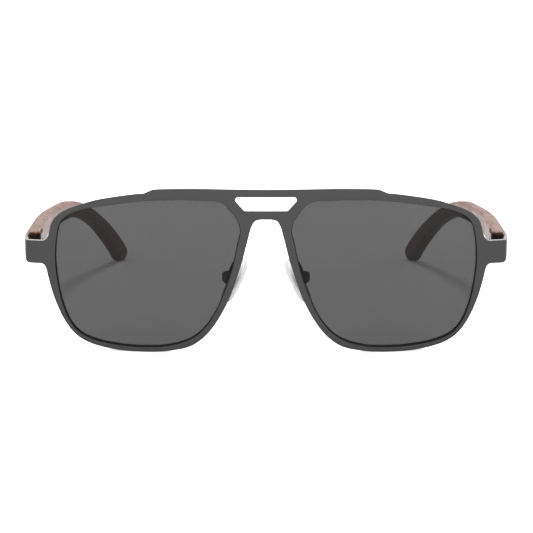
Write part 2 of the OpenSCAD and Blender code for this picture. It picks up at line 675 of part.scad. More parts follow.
module temple_plan() {
    way = [sin(temple_flare), cos(temple_flare)];
    start = [leg_x, front_y] - temple_t * way; // ahead of the wood's front end
    turns = [for (k = [0 : ear_steps]) let (w = bow_turn * k / ear_steps - temple_flare) [cos(w), sin(w)]];
    linear_extrude(2 * end_z) polygon(concat(
        [start - temple_t * [way.y, -way.x], start],
        [for (t = turns) bow_mid + bow_r * t],
        [for (k = [ear_steps : -1 : 0]) bow_mid + (bow_r - temple_t) * turns[k]]));
}

module temple(side) color("sienna") placed(side) difference() {
    intersection() {
        temple_side();
        temple_plan();
    }
    case_body(slide_play);
    translate([-temple_t, 0, 0]) case_body(slide_play); // opens the recess to the inside
    at_case_screws() translate([0, 0, -slide_play]) cylinder(h = wood_screw_l, r = wood_screw_r + pin_play);
}

front_plate();
eyewire(1);  // eyewire_left
eyewire(-1);  // eyewire_right
lens(1);  // lens_left
lens(-1);  // lens_right
rim_screw(1);  // rim_screw_left
rim_screw(-1);  // rim_screw_right
pad_arm(1);  // pad_arm_left
pad_arm(-1);  // pad_arm_right
pad_box(1);  // pad_box_left
pad_box(-1);  // pad_box_right
pad_screw(1);  // pad_screw_left
pad_screw(-1);  // pad_screw_right
nose_pad(1);  // nose_pad_left
nose_pad(-1);  // nose_pad_right
pad_core(1);  // pad_core_left
pad_core(-1);  // pad_core_right
hinge_knuckles(1);  // hinge_knuckles_left
hinge_knuckles(-1);  // hinge_knuckles_right
hinge_screw(1);  // hinge_screw_left
hinge_screw(-1);  // hinge_screw_right
hinge_tongue(1);  // hinge_tongue_left
hinge_tongue(-1);  // hinge_tongue_right
hinge_spring(1);  // hinge_spring_left
hinge_spring(-1);  // hinge_spring_right
hinge_case(1);  // hinge_case_left
hinge_case(-1);  // hinge_case_right
case_screws(1);  // case_screws_left
case_screws(-1);  // case_screws_right
temple(1);  // temple_left
temple(-1);  // temple_right
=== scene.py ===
import functools
import math

import bmesh
import bpy
import numpy as np
from mathutils.geometry import delaunay_2d_cdt
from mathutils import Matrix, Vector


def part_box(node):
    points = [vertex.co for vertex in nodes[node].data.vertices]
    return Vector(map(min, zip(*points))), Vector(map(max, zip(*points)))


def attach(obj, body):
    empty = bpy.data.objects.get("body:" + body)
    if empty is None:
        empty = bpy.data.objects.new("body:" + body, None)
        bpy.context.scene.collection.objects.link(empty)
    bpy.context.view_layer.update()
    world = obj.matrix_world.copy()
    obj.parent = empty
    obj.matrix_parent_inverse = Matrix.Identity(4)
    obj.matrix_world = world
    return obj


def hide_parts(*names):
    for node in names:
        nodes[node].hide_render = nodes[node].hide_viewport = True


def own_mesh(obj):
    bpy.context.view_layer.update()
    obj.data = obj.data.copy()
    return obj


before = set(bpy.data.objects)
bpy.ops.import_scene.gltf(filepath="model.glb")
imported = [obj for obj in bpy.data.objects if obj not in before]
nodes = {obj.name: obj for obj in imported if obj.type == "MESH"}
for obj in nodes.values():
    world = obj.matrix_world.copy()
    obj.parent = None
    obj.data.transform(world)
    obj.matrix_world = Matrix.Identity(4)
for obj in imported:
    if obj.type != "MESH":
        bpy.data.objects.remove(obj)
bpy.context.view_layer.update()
mm = 0.001
sides = {"left": 1, "right": -1}  # the wearer's sides; left is +X
frontY = -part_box("temple_left")[1].y / mm  # the front's foremost face, in mm
print("frame loaded, front face at", round(frontY, 2), "mm")


# shader maths


class Shade:  # wraps a socket, so that sums and products of sockets become Math nodes
    def __init__(self, tree, socket=None):
        self.tree, self.socket = tree, socket

    def make(self, kind, settings=(), sockets=(), out=0):  # a node: its settings first, then its sockets
        made = self.tree.nodes.new("ShaderNode" + kind)
        for key, value in dict(settings).items():
            if key == "stops":
                ramp = made.color_ramp
                while len(ramp.elements) < len(value):
                    ramp.elements.new(0.5)
                for element, (at, color) in zip(ramp.elements, value):
                    element.position, element.color = at, color
            else:
                setattr(made, key, value)
        for key, value in dict(sockets).items():
            if isinstance(value, Shade):
                self.tree.links.new(value.socket, made.inputs[key])
            else:
                made.inputs[key].default_value = value
        return Shade(self.tree, made.outputs[out]) if made.outputs else None

    def calc(self, operation, a, b):  # a Math node on two values
        return self.make("Math", {"operation": operation}, {0: a, 1: b})

    def __add__(self, other):
        return self.calc("ADD", self, other)

    def __radd__(self, other):
        return self.calc("ADD", other, self)

    def __sub__(self, other):
        return self.calc("SUBTRACT", self, other)

    def __rsub__(self, other):
        return self.calc("SUBTRACT", other, self)

    def __mul__(self, other):
        return self.calc("MULTIPLY", self, other)

    def __rmul__(self, other):
        return self.calc("MULTIPLY", other, self)

    def tint(self, low, high):  # a colour between two, by this value
        return self.make("Mix", {"data_type": "RGBA"}, {0: self, 6: low, 7: high}, out=2)

    def bump(self, depth, strength):  # a normal from this value as height, depth in metres
        return self.make("Bump", {}, {"Height": self, "Distance": depth, "Strength": strength})


def grey(value):  # an opaque grey of one linear value
    return (value, value, value, 1.0)


def newFinish(name):  # an empty material, its tree and the piece's own coordinates
    material = bpy.data.materials.new(name)
    material.use_nodes = True
    material.node_tree.nodes.clear()
    shade = Shade(material.node_tree)
    place = shade.make("TexCoord", {}, {}, out="Object")
    return material, shade, place


def stretched(shade, place, scale):  # the coordinates times a scale for each axis
    return shade.make("Mapping", {}, {"Vector": place, "Scale": scale})


def grain(shade, place, scale, detail=3.0, roughness=0.55):  # noise from 0 to 1 on scaled coordinates
    return shade.make("TexNoise", {}, {"Vector": stretched(shade, place, scale), "Scale": 1.0, "Detail": detail,
                                       "Roughness": roughness})


def principled(shade, sockets):  # one Principled surface as the material's output
    surface = shade.make("BsdfPrincipled", {}, sockets)
    shade.make("OutputMaterial", {}, {"Surface": surface})


metal = {"cloud": (90, 90, 90), "cloudShare": 0.6, "spread": 0.12, "bump": 0.25,  # spread is of roughness
         "paintedHighlightColor": grey(0.30), "cutMetal": 0.5, "cutSmooth": 0.12}  # cut edges: polished, so more metallic and less rough, and painted pale as a highlight
blasted = {"grain": (2600, 2600, 2600), "relief": 0.006}  # fine grain, its height in mm


def satinMetal(name, look):  # satin metal: cloudy colour, fine blasted grain in roughness and height
    material, shade, place = newFinish(name)
    cloud = grain(shade, place, metal["cloud"])
    fine = grain(shade, place, look["grain"], 2.0)
    cut = shade.make("Attribute", {"attribute_name": "cut"}, {}, out="Fac")  # 1 on the cut edges, which are polished and painted pale as a highlight, 0 elsewhere
    tone = cloud * metal["cloudShare"] + fine * (1.0 - metal["cloudShare"])
    principled(shade, {
        # the cut edges take a pale colour that is a painted highlight
        "Base Color": cut.tint(tone.tint(look["dark"], look["light"]), metal["paintedHighlightColor"]),
        "Metallic": look["metallic"] + cut * metal["cutMetal"],
        "Roughness": look["rough"] - metal["spread"] / 2 + fine * metal["spread"] - cut * metal["cutSmooth"],
        "Specular IOR Level": look["specular"],
        "Normal": fine.bump(look["relief"] * mm, metal["bump"])})
    return material


finishes = {
    "gunmetal": satinMetal("satin_grey", {**blasted, "dark": grey(0.036), "light": grey(0.046), "metallic": 0.08,
                                          "rough": 0.52, "specular": 0.12}),
    "darkMetal": satinMetal("satin_black", {**blasted, "dark": grey(0.004), "light": grey(0.008), "metallic": 0.05,
                                            "rough": 0.45, "specular": 0.08}),
    # the hinge is near black; its brown tint is a painted reflection of the wood
    "hinge": satinMetal("black_with_painted_wood_reflection", {**blasted, "dark": (0.006, 0.003, 0.002, 1),
                                          "light": (0.012, 0.005, 0.003, 1), "metallic": 0.05, "rough": 0.5,
                                          "specular": 0.08}),
    # the hinge screw's brown is a painted reflection of the wood
    "pin": satinMetal("brown_painted_wood_reflection", {**blasted, "dark": (0.120, 0.042, 0.016, 1),
                                      "light": (0.200, 0.070, 0.028, 1), "metallic": 0.5, "rough": 0.4,
                                      "specular": 0.3, "relief": 0.004}),
    "steel": satinMetal("brushed_steel", {"dark": grey(0.42), "light": grey(0.62), "metallic": 1.0, "rough": 0.30,
                                          "specular": 0.5, "grain": (4200, 500, 4200), "relief": 0.004})}


def lensGlass(look):  # neutral grey tint: each face lets part of the light through, a little less towards the foot
    material, shade, place = newFinish("lens_grey")
    high = shade.make("SeparateXYZ", {}, {"Vector": place}, out=2)
    share = shade.make("MapRange", {}, {"Value": high, "From Min": 0.0, "From Max": look["browZ"] * mm,
                                        "To Min": look["foot"], "To Max": look["brow"]})
    haze = grain(shade, place, look["haze"], 2.0)
    principled(shade, {"Base Color": haze.tint(look["dark"], look["light"]),
                       "Roughness": look["rough"] + haze * look["spread"], "IOR": look["ior"],
                       "Specular IOR Level": look["specular"], "Alpha": 1.0 - share})
    return material


finishes["lens"] = lensGlass({"foot": 0.218, "brow": 0.221, "browZ": 50.0,  # shares let through by one face
                              "dark": grey(0.010), "light": grey(0.014), "haze": (60, 60, 60), "rough": 0.03,
                              "spread": 0.02, "ior": 1.5, "specular": 0.08})


def clearPad(look):  # soft clear silicone: pale, half let through, faint cloud
    material, shade, place = newFinish("clear_pad")
    cloud = grain(shade, place, look["cloud"], 2.0)
    principled(shade, {"Base Color": cloud.tint(look["dark"], look["light"]),
                       "Roughness": look["rough"] + cloud * look["spread"], "IOR": look["ior"],
                       "Alpha": look["cover"] + cloud * look["coverSpread"]})
    return material


silicone = {"cloud": (400, 400, 400), "rough": 0.22, "spread": 0.1, "ior": 1.41, "coverSpread": 0.06}
finishes["pad"] = clearPad({**silicone, "dark": (0.41, 0.41, 0.405, 1), "light": (0.51, 0.51, 0.50, 1), "cover": 0.61})
finishes["core"] = clearPad({**silicone, "dark": grey(0.62), "light": grey(0.74), "cover": 0.80})


def oiledWood(look):  # grain along the temple: broad bands, thin fibres, blotchy figure, dark pores, uneven sheen
    material, shade, place = newFinish("oiled_wood")
    band = grain(shade, place, look["band"], 4.0, 0.6)
    fibre = grain(shade, place, look["fibre"], 3.0, 0.6)
    mottle = grain(shade, place, look["mottle"], 2.0)
    figure = grain(shade, place, look["figure"], 4.0, 0.65)
    poreField = grain(shade, place, look["pores"], 1.0)
    pore = shade.make("MapRange", {}, {"Value": poreField, "From Min": look["poreFrom"], "From Max": look["poreTo"],
                                       "To Min": 0.0, "To Max": 1.0})
    shares = look["shares"]
    tone = band * shares[0] + fibre * shares[1] + mottle * shares[2] + figure * shares[3] - look["toneDrop"]
    body = tone.make("ValToRGB", {"stops": look["stops"]}, {"Fac": tone})
    color = shade.make("Mix", {"data_type": "RGBA"}, {0: pore * look["poreTint"], 6: body, 7: look["pore"]}, out=2)
    principled(shade, {"Base Color": color,
                       "Roughness": look["rough"] - look["spread"] / 2 + fibre * look["spread"],
                       "Specular IOR Level": look["specular"],
                       "Coat Weight": figure * look["coat"] - look["coatDrop"], "Coat Roughness": look["coatRough"],
                       "Normal": (fibre - pore * look["poreDepth"]).bump(look["relief"] * mm, look["bump"])})
    return material


finishes["wood"] = oiledWood({
    "stops": [(0.30, (0.055, 0.020, 0.014, 1)), (0.45, (0.102, 0.042, 0.030, 1)), (0.58, (0.160, 0.072, 0.052, 1)),
              (0.72, (0.240, 0.124, 0.092, 1))],
    "band": (260, 9, 330), "fibre": (2400, 45, 2400), "mottle": (120, 70, 120), "figure": (540, 140, 540),
    "shares": (0.42, 0.22, 0.26, 0.58), "toneDrop": 0.235,  # of band, fibre, mottle and figure; centres the tone
    "pores": (2900, 150, 2900), "poreFrom": 0.60, "poreTo": 0.70, "poreTint": 0.55, "poreDepth": 0.7,
    "pore": (0.035, 0.014, 0.009, 1), "rough": 0.48, "spread": 0.16, "specular": 0.45, "relief": 0.03, "bump": 0.35,
    "coat": 1.3, "coatDrop": 0.05, "coatRough": 0.34})
print("finishes made:", len(finishes))


# making pieces


def toFrame(points):  # mm in the front's frame to metres in the CAD's frame
    return (np.asarray(points, float) + (0.0, frontY, 0.0)) * mm


def newPiece(name, points, faces, finish, slot, body, replaced, smoothAngle=40):  # a mesh that stands for CAD nodes
    mesh = bpy.data.meshes.new(name)
    mesh.from_pydata(toFrame(points), [], faces)
    mesh.validate()
    return dress(name, mesh, finish, body, replaced, smoothAngle)


def dress(name, mesh, finish, body, replaced, smoothAngle=40):  # a mesh shaded, finished and tied to its body
    mesh.shade_smooth()
    mesh.set_sharp_from_angle(angle=math.radians(smoothAngle))
    mesh.materials.clear()
    mesh.materials.append(finishes[finish])
    piece = bpy.data.objects.new(name, mesh)
    bpy.context.scene.collection.objects.link(piece)
    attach(piece, body)
    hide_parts(*replaced)
    return piece


def gridFaces(rows, cols, closeRows=False, closeCols=False, start=0):  # quads of a grid of points, row by row
    r = np.arange(rows if closeRows else rows - 1)[:, None]
    c = np.arange(cols if closeCols else cols - 1)[None, :]
    at = lambda i, j: start + (i % rows) * cols + j % cols
    return np.stack([at(r, c), at(r, c + 1), at(r + 1, c + 1), at(r + 1, c)], -1).reshape(-1, 4).tolist()


def mirrored(points, faces, side):  # the right side is the left one's mirror image, with its faces turned back out
    points = np.asarray(points, float) * (side, 1, 1)
    return points, faces if side > 0 else [f[::-1] for f in faces]


def joined(*parts):  # several (points, faces) as one
    points, faces, start = [], [], 0
    for p, f in parts:
        points.append(np.asarray(p, float))
        faces += [[start + i for i in face] for face in f]
        start += len(p)
    return np.concatenate(points), faces


def closedCurve(points, perSpan):  # cubic spans through a closed row of points, slopes by the root of their spacing
    p = np.asarray(points, float)
    a, b, c, d = (np.roll(p, k, 0) for k in (1, 0, -1, -2))
    s, t, u = (np.sqrt(np.linalg.norm(q - r, axis=1))[:, None] for q, r in ((b, a), (c, b), (d, c)))
    m = t * ((b - a) / s - (c - a) / (s + t) + (c - b) / t)
    n = t * ((c - b) / t - (d - b) / (t + u) + (d - c) / u)
    k = (np.arange(perSpan) / perSpan)[None, :, None]
    b, c, m, n = (v[:, None, :] for v in (b, c, m, n))
    spans = (2 * k**3 - 3 * k**2 + 1) * b + (k**3 - 2 * k**2 + k) * m + (3 * k**2 - 2 * k**3) * c + (k**3 - k**2) * n
    return spans.reshape(-1, p.shape[1])


def spaced(curve, step):  # a closed curve walked in equal steps
    ring = np.concatenate([curve, curve[:1]])
    run = np.concatenate([[0], np.cumsum(np.linalg.norm(np.diff(ring, axis=0), axis=1))])
    at = np.linspace(0, run[-1], int(run[-1] / step) + 1)[:-1]
    return np.stack([np.interp(at, run, ring[:, k]) for k in range(ring.shape[1])], 1)


def rightOf(loop):  # unit normals on the right of a closed loop's direction
    e = np.roll(loop, -1, 0) - np.roll(loop, 1, 0)
    return np.stack([e[:, 1], -e[:, 0]], 1) / np.linalg.norm(e, axis=1)[:, None]


def cornerArc(a, b, c, r, steps=8):  # points of the round of radius r that replaces corner b
    a, b, c = (np.asarray(v, float) for v in (a, b, c))
    p, q = (a - b) / np.linalg.norm(a - b), (c - b) / np.linalg.norm(c - b)
    half = math.acos(np.clip(p @ q, -1, 1)) / 2
    o = b + (p + q) / np.linalg.norm(p + q) * r / math.sin(half)
    s, e = b + p * r / math.tan(half) - o, b + q * r / math.tan(half) - o
    w = math.acos(np.clip(s @ e / r**2, -1, 1))
    k = np.linspace(0, 1, steps + 1)[:, None]
    return o + (np.sin((1 - k) * w) * s + np.sin(k * w) * e) / math.sin(w)


def roundedLoop(corners, steps=8):  # closed loop from corners (x, y, r)
    n = len(corners)
    return np.concatenate([cornerArc(corners[i - 1][:2], corners[i][:2], corners[(i + 1) % n][:2], corners[i][2], steps)
                           for i in range(n)])


def softBox(low, high, r, steps=4):  # box with round edges: a sphere's points pushed out to the box's corners
    low, high = np.asarray(low, float), np.asarray(high, float)
    quarter = np.linspace(0, math.pi / 2, steps + 1)
    lon = np.concatenate([quarter + k * math.pi / 2 for k in range(4)])
    lat = np.concatenate([quarter - math.pi / 2, quarter])
    east = np.repeat([1, -1, -1, 1], steps + 1)
    north = np.repeat([1, 1, -1, -1], steps + 1)
    up = np.repeat([-1, 1], steps + 1)
    half = (high - low) / 2 - r
    lat, up = lat[:, None], up[:, None]
    x = half[0] * east + r * np.cos(lat) * np.cos(lon)
    y = half[1] * north + r * np.cos(lat) * np.sin(lon)
    z = half[2] * up + r * np.sin(lat) + 0 * lon
    rows, cols = x.shape
    points = np.stack([x, y, z], -1).reshape(-1, 3) + (low + high) / 2
    faces = gridFaces(rows, cols, closeCols=True)
    return points, faces + [list(range(cols))[::-1], list(range((rows - 1) * cols, rows * cols))]


tubeRim = 0.25  # rounding at a tube's ends, as a share of its radius


def tube(path, r, around=20):  # a circle carried along a path, with round edges at both ends
    path = np.asarray(path, float)
    t = np.gradient(path, axis=0)
    t /= np.linalg.norm(t, axis=1)[:, None]
    u = np.cross(t, (1.0, 0.0, 0.0))
    u /= np.linalg.norm(u, axis=1)[:, None]
    v = np.cross(t, u)
    rim = tubeRim * r
    path = np.concatenate([path[:1], path[:1] + t[:1] * rim, path[1:-1], path[-1:] - t[-1:] * rim, path[-1:]])
    u, v = (np.concatenate([w[:1], w, w[-1:]]) for w in (u, v))
    size = np.full((len(path), 1, 1), r)
    size[[0, -1]] = r - rim
    w = np.linspace(0, 2 * math.pi, around, endpoint=False)[None, :, None]
    points = path[:, None] + size * (np.cos(w) * u[:, None] + np.sin(w) * v[:, None])
    rows = len(path)
    faces = gridFaces(rows, around, closeCols=True)
    return points.reshape(-1, 3), faces + [list(range(around))[::-1], list(range((rows - 1) * around, rows * around))]


soften = {"weld": 0.002, "flat": math.radians(0.5), "sharp": math.radians(40), "segments": 2, "profile": 0.6}


def softened(node, finish, body, width, heights):  # a CAD node's copy, sharp edges rounded off, heights moved
    work = bmesh.new()
    work.from_mesh(nodes[node].data)
    bmesh.ops.remove_doubles(work, verts=work.verts, dist=soften["weld"] * mm)
    bmesh.ops.dissolve_limit(work, angle_limit=soften["flat"], verts=work.verts, edges=work.edges)
    sharp = [e for e in work.edges if len(e.link_faces) == 2 and e.calc_face_angle(0) > soften["sharp"]]
    bmesh.ops.bevel(work, geom=sharp, offset=width * mm, segments=soften["segments"], profile=soften["profile"],
                    affect="EDGES", clamp_overlap=True)
    bmesh.ops.triangulate(work, faces=[f for f in work.faces if len(f.verts) > 4])
    mesh = bpy.data.meshes.new(node + "_soft")
    work.to_mesh(mesh)
    work.free()
    points = np.empty(len(mesh.vertices) * 3)
    mesh.vertices.foreach_get("co", points)
    points[2::3] = np.interp(points[2::3] / mm, *heights) * mm
    mesh.vertices.foreach_set("co", points)
    return dress(node + "_soft", mesh, finish, body, [node])


# front sheet

front = {
    "faceR": 260.0, "midZ": 30.2, "thick": 0.9,  # the sphere that the sheet follows, its middle height, the sheet
    "halfW": 73.6, "foldR": 1.6, "legEnd": 19.735,  # outer face at the folds, the fold, where the legs end
    "splay": math.radians(7.7),  # the legs lean out by this
    "edgeR": 0.13, "edgeSteps": 3, "step": 0.4,  # rounding of the sheet's edges, spacing of points along them
    "outer": [(0, 50.65), (11.4, 50.75), (22.2, 50.8), (30.5, 50.6), (33.3, 50.45), (34.2, 50.32), (35.2, 49.92),
              (36.4, 49.36), (37.1, 49.12), (38.6, 49.0), (44.1, 48.2), (51.4, 46.8), (56.0, 45.35), (60.7, 43.5),
              (63.4, 41.8), (65.2, 39.6), (66.0, 37.2), (66.4, 35.5), (66.9, 34.68), (67.7, 34.02),
              (68.8, 33.85)],  # top middle to the endpiece
    "under": [(68.6, 26.55), (67.8, 26.15), (67.3, 25.2), (66.65, 22.46), (65.54, 18.25), (64.03, 13.93),
              (62.13, 9.72), (59.42, 5.78), (56.5, 3.37), (52.45, 1.66), (45, 0.28), (37, 0.0), (30, 0.46),
              (23.33, 1.97), (19.28, 4.65), (16.37, 7.92), (13.52, 12.38), (11.07, 17.44), (8.87, 23.65),
              (6.9, 29.87), (5.33, 35.98), (4.25, 39.68), (3.25, 41.2), (1.8, 41.63),
              (0, 41.65)],  # endpiece to the nose arch
    "endTop": 33.85, "endLow": 26.55, "legLift": 0.5,  # the legs are narrower from below by the lift
    "endStart": 69.6, "endStep": 0.4, "endCorner": 0.5, "cornerSteps": 5, "perSpan": 12,  # the endpieces' edges
    "squareRun": 4.0,  # the run over which edges turn square to the sheet
    "cutFrom": 65.0, "cutRun": 3.0,  # where edges begin to be polished and painted pale as a highlight, and over what run
    "window": [(-10.4, 48.42, 0.9), (10.4, 48.42, 0.9), (6.5, 44.2, 0.7), (-6.5, 44.2, 0.7)], "windowStep": 0.25,
    "faceInset": 0.1, "weld": 1e-6,  # flat margin beside the rounded edges, least spacing in the filled faces
    "fold": {"from": 66.5, "short": 0.5, "step": 0.2, "low": 27.4, "high": 33.1, "rise": 0.7}}  # points on the folds

lensShape = {
    "x0": 7.65, "z0": 1.4, "w": 56.7, "h": 46.0, "perSpan": 12,
    "points": [(.110, .989), (.227, .998), (.359, 1), (.514, .989), (.675, .961), (.844, .922), (.930, .878),
               (.969, .830), (.992, .726), (1, .572), (.990, .437), (.969, .302), (.927, .165), (.872, .083),
               (.784, .035), (.659, .008), (.523, 0), (.394, .012), (.276, .058), (.202, .128), (.140, .237),
               (.082, .402), (.045, .541), (.015, .709), (0, .796), (.013, .861), (.047, .924), (.082, .970)]}
lensPoints = np.array(lensShape["points"]) * (lensShape["w"], lensShape["h"]) + (lensShape["x0"], lensShape["z0"])
lensCurve = closedCurve(lensPoints, lensShape["perSpan"])  # clockwise, seen from the front


def faceY(x, z, depth):  # depth below the sphere's front, straight back from the point x, z
    return front["faceR"] - np.sqrt((front["faceR"] - depth)**2 - x**2 - (z - front["midZ"])**2)


foldX = front["halfW"] - front["foldR"]
foldY = front["faceR"] - math.sqrt((front["faceR"] - front["foldR"])**2 - foldX**2)
foldStart = math.atan2(foldY - front["faceR"], foldX)
foldEdge = front["faceR"] * math.cos(foldStart)  # where the sphere ends and the fold begins
foldRun = -(foldStart + front["splay"]) * front["foldR"]
legRun = (front["legEnd"] - foldY + front["foldR"] * math.sin(front["splay"])) / math.cos(front["splay"])
sheetEnd = foldEdge + foldRun + legRun  # end of the leg, measured along the sheet


def smooth(k):  # an eased step from 0 to 1
    return k * k * (3 - 2 * k)


def sheetPoint(s, z, depth):  # sphere, then a fold, then the straight leg, by the distance s along the sheet
    a, side = np.abs(s), np.where(s < 0, -1.0, 1.0)
    k = smooth(np.clip((a - foldEdge) / front["squareRun"] + 1, 0, 1))
    faceX = a * (1 - k * depth / front["faceR"])  # the edges square up with the sheet towards the fold
    onFace = np.stack([faceX, faceY(np.minimum(faceX, foldEdge), z, depth), z], -1)
    w = np.minimum(foldStart + (a - foldEdge) / front["foldR"], -front["splay"])
    r = front["foldR"] - depth
    leg = np.maximum(a - foldEdge - foldRun, 0)
    dish = (z - front["midZ"])**2 / (2 * front["faceR"])
    onLeg = np.stack([foldX + r * np.cos(w) + leg * math.sin(front["splay"]),
                      foldY + r * np.sin(w) + leg * math.cos(front["splay"]) + dish, z], -1)
    return np.where((a < foldEdge)[:, None], onFace, onLeg) * np.stack([side, 1 + 0 * side, 1 + 0 * side], -1)


def frontOutline():  # the sheet's outer edge, counter-clockwise, its ends unrolled
    r, top, steps = front["endCorner"], front["endTop"], front["cornerSteps"]
    straight = np.arange(front["endStart"], sheetEnd - 2 * r, front["endStep"])
    low = front["endLow"] + front["legLift"] * smooth(np.clip((straight - foldEdge) / front["foldR"], 0, 1))
    end = np.concatenate([cornerArc((0, top), (sheetEnd, top), (sheetEnd, front["midZ"]), r, steps),
                          cornerArc((sheetEnd, front["midZ"]), (sheetEnd, low[-1]), (0, low[-1]), r, steps)])
    half = np.concatenate([front["outer"], np.stack([straight, 0 * straight + top], 1), end,
                           np.stack([straight, low], 1)[::-1], front["under"]])
    whole = np.concatenate([half, half[-2:0:-1] * (-1, 1)])[::-1]
    return spaced(closedCurve(whole, front["perSpan"]), front["step"])


def insideLoops(points, loops, most=2000):  # even-odd test of points against closed loops, so many at a time
    odd = np.zeros(len(points), bool)
    for loop in loops:
        a, b = loop, np.roll(loop, -1, 0)
        for part in np.array_split(np.arange(len(points)), max(1, len(points) // most)):
            x, z = points[part, 0][:, None], points[part, 1][:, None]
            cross = (a[:, 1] > z) != (b[:, 1] > z)
            at = a[:, 0] + (z - a[:, 1]) * (b[:, 0] - a[:, 0]) / np.where(cross, b[:, 1] - a[:, 1], 1)
            odd[part] ^= (np.sum(cross & (x < at), 1) % 2).astype(bool)
    return odd


def frontSheet():  # front and back faces filled between the loops, joined by rings that round every edge
    lensLoop = spaced(lensCurve, front["step"])
    window = spaced(roundedLoop(front["window"]), front["windowStep"])  # clockwise, as each hole is
    loops = [frontOutline(), lensLoop, (lensLoop * (-1, 1))[::-1], window]
    a = np.linspace(0, math.pi / 2, front["edgeSteps"] + 1)
    r, t, flatEdge = front["edgeR"], front["thick"], front["edgeR"] + front["faceInset"]
    inset = np.concatenate([[flatEdge], r * (1 - np.sin(a)), r * (1 - np.cos(a)), [flatEdge]])
    depth = np.concatenate([[0], r * (1 - np.cos(a)), t - r * (1 - np.sin(a)), [t]])
    points, faces, start, flat, edges, cut = [], [], 0, [], [], []
    firstRing, lastRing = [], []
    rim = np.where(np.arange(len(inset)) % (len(inset) - 1) == 0, 0.0, 1.0)  # 1 on the rounded edge, 0 on the faces
    for loop in loops:
        n, rings = len(loop), len(inset)
        normal = rightOf(loop)
        rows = loop[None] - inset[:, None, None] * normal[None]
        points.append(sheetPoint(rows[..., 0].ravel(), rows[..., 1].ravel(), np.repeat(depth, n)))
        # the endpieces' edges, polished and painted pale as a highlight
        brightEdgeRamp = np.clip((np.abs(rows[..., 0]) - front["cutFrom"]) / front["cutRun"], 0, 1)
        cut.append((rim[:, None] * brightEdgeRamp).ravel())
        faces += [f[::-1] for f in gridFaces(rings, n, closeCols=True, start=start)]
        base = sum(map(len, flat))
        edges += [(base + i, base + (i + 1) % n) for i in range(n)]
        flat.append(rows[0])
        firstRing.append(start + np.arange(n))
        lastRing.append(start + (rings - 1) * n + np.arange(n))
        start += rings * n
    fold = front["fold"]  # the fold needs points of its own
    s, z = np.meshgrid(np.arange(fold["from"], sheetEnd - fold["short"], fold["step"]),
                       np.arange(fold["low"], fold["high"], fold["rise"]))
    fill = np.stack([s.ravel(), z.ravel()], 1)
    fill = np.concatenate([fill, fill * (-1, 1)])
    capLoops = flat
    flat = np.concatenate(flat + [fill])
    cut.append(np.zeros(2 * len(fill)))
    firstRing = np.concatenate(firstRing + [start + np.arange(len(fill))])
    lastRing = np.concatenate(lastRing + [start + len(fill) + np.arange(len(fill))])
    points += [sheetPoint(fill[:, 0], fill[:, 1], back + 0 * fill[:, 0]) for back in (0, t)]
    found = delaunay_2d_cdt([tuple(p) for p in flat], edges, [], 0, front["weld"])
    source = np.array([ids[0] for ids in found[3]])
    tris = source[np.array(found[2])]
    tris = tris[insideLoops(flat[tris].mean(1), capLoops)]
    p, q = flat[tris[:, 1]] - flat[tris[:, 0]], flat[tris[:, 2]] - flat[tris[:, 0]]
    tris = np.where((p[:, 0] * q[:, 1] - p[:, 1] * q[:, 0] < 0)[:, None], tris[:, ::-1], tris)
    faces += firstRing[tris].tolist() + lastRing[tris[:, ::-1]].tolist()
    return np.concatenate(points), faces, np.concatenate(cut)


points, faces, cut = frontSheet()
sheet = newPiece("front_sheet", points, faces, "gunmetal", "gunmetal", "front", ["front_plate"])
brightEdgeAttribute = sheet.data.attributes.new("cut", "FLOAT", "POINT")  # the cut edges of the endpieces, polished and painted pale as a highlight
brightEdgeAttribute.data.foreach_set("value", cut.astype(np.float32))
print("front sheet:", len(faces), "faces")


# eyewires and lenses

wire = {"near": 0.92, "far": 3.12, "inside": -0.16, "outside": 0.85, "edgeR": 0.14, "edgeSteps": 3, "step": 0.4,
        "slit": 0.075, "lockX": (64.9, 67.9), "lockY": (9.99, 12.79), "lockZ": 2.7, "lockR": 0.25}
lens = {"near": 1.47, "thick": 1.1, "bite": 0.3, "rings": 26, "step": 0.5, "hub": 0.02}  # hub: the smallest ring


def eyewire():  # a round-edged strip carried round the lens, open at a slit, with a block on each side of the slit
    above = lensCurve[:, 1] > front["midZ"]
    outer = lensCurve[:, 0] > lensShape["x0"] + lensShape["w"] / 2
    i = np.flatnonzero(above & ~np.roll(above, -1) & outer)[0]  # the slit lies in this span
    a, b = lensCurve[i], lensCurve[(i + 1) % len(lensCurve)]
    mid = a + (b - a) * (front["midZ"] - a[1]) / (b[1] - a[1])
    ring = np.concatenate([[mid], np.roll(lensCurve, -i - 1, 0), [mid]])
    run = np.concatenate([[0], np.cumsum(np.linalg.norm(np.diff(ring, axis=0), axis=1))])
    at = np.linspace(wire["slit"], run[-1] - wire["slit"], int(run[-1] / wire["step"]))
    loop = np.stack([np.interp(at, run, ring[:, k]) for k in (0, 1)], 1)
    e = np.gradient(loop, axis=0)
    normal = np.stack([-e[:, 1], e[:, 0]], 1) / np.linalg.norm(e, axis=1)[:, None]  # outwards, on the loop's left
    corners = (("inside", "near"), ("outside", "near"), ("outside", "far"), ("inside", "far"))
    section = roundedLoop([(wire[across], wire[back], wire["edgeR"]) for across, back in corners],
                          wire["edgeSteps"])
    flat = loop[:, None] + section[None, :, :1] * normal[:, None]
    depth = np.broadcast_to(section[None, :, 1], flat.shape[:2])
    points = np.stack([flat[..., 0], faceY(flat[..., 0], flat[..., 1], depth), flat[..., 1]], -1)
    rows, cols = depth.shape
    faces = gridFaces(rows, cols, closeCols=True)
    faces += [list(range(cols))[::-1], list(range((rows - 1) * cols, rows * cols))]
    z, (x0, x1), (y0, y1) = front["midZ"], wire["lockX"], wire["lockY"]
    upper = softBox((x0, y0, z + wire["slit"]), (x1, y1, z + wire["lockZ"]), wire["lockR"])
    lower = softBox((x0, y0, z - wire["lockZ"]), (x1, y1, z - wire["slit"]), wire["lockR"])
    return joined((points.reshape(-1, 3), faces), upper, lower)


